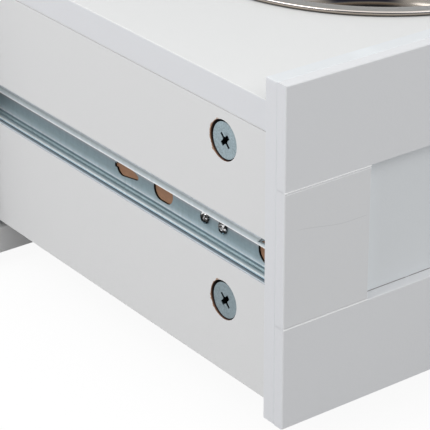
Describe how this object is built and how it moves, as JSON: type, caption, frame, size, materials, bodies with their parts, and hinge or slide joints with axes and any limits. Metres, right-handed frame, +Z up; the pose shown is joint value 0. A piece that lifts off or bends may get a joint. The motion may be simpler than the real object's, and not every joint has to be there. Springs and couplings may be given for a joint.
{
  "type": "elevated dog feeder with storage",
  "caption": "Raised white pet feeder cabinet: a storage bin under a hinged lid, and below it a drawer on ball slides that carries round lift-out steel bowls.",
  "frame": {"origin": "on the floor, under the middle of the whole part's box with the drawer pulled out", "axes": "+Z up, +X to the right seen from the front, -Y towards the front (the way the drawer opens)"},
  "size_m": [0.61, 0.5298, 0.36],
  "materials": {
    "painted_board": "white satin lacquer on fibreboard",
    "beech": "bare beech dowel",
    "soft_pad": "matt rubber",
    "polished_steel": "polished stainless steel",
    "ball_steel": "ground ball steel",
    "cage_plastic": "matt moulded plastic",
    "satin_steel": "satin nickel plate",
    "zinc_plate": "bright zinc plate"
  },
  "bodies": {
    "cabinet": {"cabinet_side_left": "painted_board", "cabinet_side_right": "painted_board", "cabinet_bottom": "painted_board", "storage_floor": "painted_board", "cabinet_back": "painted_board", "hinge_rail": "painted_board", "upper_front_panel": "painted_board", "upper_front_top_strip": "painted_board", "upper_front_low_strip": "painted_board", "upper_front_stile_left": "painted_board", "upper_front_stile_right": "painted_board", "front_brackets": "zinc_plate", "bracket_screws": "zinc_plate", "floor_pads": "soft_pad", "cabinet_cam_locks": "zinc_plate", "cabinet_cam_bolts": "zinc_plate", "cabinet_dowels": "beech", "back_panel_screws": "zinc_plate", "lid_bumpers": "soft_pad", "drawer_bumpers": "soft_pad", "hinge_leaves_fixed": "satin_steel", "hinge_pins": "satin_steel", "hinge_screws_fixed": "satin_steel", "inner_rail_left": "zinc_plate", "inner_rail_right": "zinc_plate", "inner_rail_screws": "zinc_plate"},
    "drawer": {"drawer_front_panel": "painted_board", "drawer_front_top_strip": "painted_board", "drawer_front_low_strip": "painted_board", "drawer_front_stile_left": "painted_board", "drawer_front_stile_right": "painted_board", "drawer_side_left": "painted_board", "drawer_side_right": "painted_board", "drawer_back": "painted_board", "bowl_panel": "painted_board", "drawer_cam_locks": "zinc_plate", "drawer_cam_bolts": "zinc_plate", "drawer_dowels": "beech", "knob": "satin_steel", "knob_screw": "zinc_plate", "slide_channel_left": "zinc_plate", "slide_channel_right": "zinc_plate", "channel_screws": "zinc_plate"},
    "lid": {"lid": "painted_board", "hinge_leaves_lid": "satin_steel", "hinge_screws_lid": "satin_steel"},
    "cage_left": {"ball_cage_left": "cage_plastic", "cage_balls_left": "ball_steel"},
    "cage_right": {"ball_cage_right": "cage_plastic", "cage_balls_right": "ball_steel"},
    "bowl_left": {"bowl_left": "polished_steel"},
    "bowl_right": {"bowl_right": "polished_steel"}
  },
  "joints": [
    {"name": "drawer_slide", "type": "slide", "parent": "cabinet", "child": "drawer", "axis": [0, -1, 0], "range_m": [-0.205, 0]},
    {"name": "cage_left_slide", "type": "slide", "parent": "cabinet", "child": "cage_left", "axis": [0, -1, 0], "range_m": [-0.1025, 0]},
    {"name": "cage_right_slide", "type": "slide", "parent": "cabinet", "child": "cage_right", "axis": [0, -1, 0], "range_m": [-0.1025, 0]},
    {"name": "lid_hinge", "type": "hinge", "parent": "cabinet", "child": "lid", "pos_m": [0, 0.2622, 0.3435], "axis": [-1, 0, 0], "range_deg": [0, 105]},
    {"name": "bowl_left_lift", "type": "slide", "parent": "drawer", "child": "bowl_left", "axis": [0, 0, 1], "range_m": [0, 0.09]},
    {"name": "bowl_right_lift", "type": "slide", "parent": "drawer", "child": "bowl_right", "axis": [0, 0, 1], "range_m": [0, 0.09]}
  ],
  "couplings": [
    {"joint": "cage_left_slide", "follows": "drawer_slide", "ratio": 0.5},
    {"joint": "cage_right_slide", "follows": "drawer_slide", "ratio": 0.5}
  ]
}
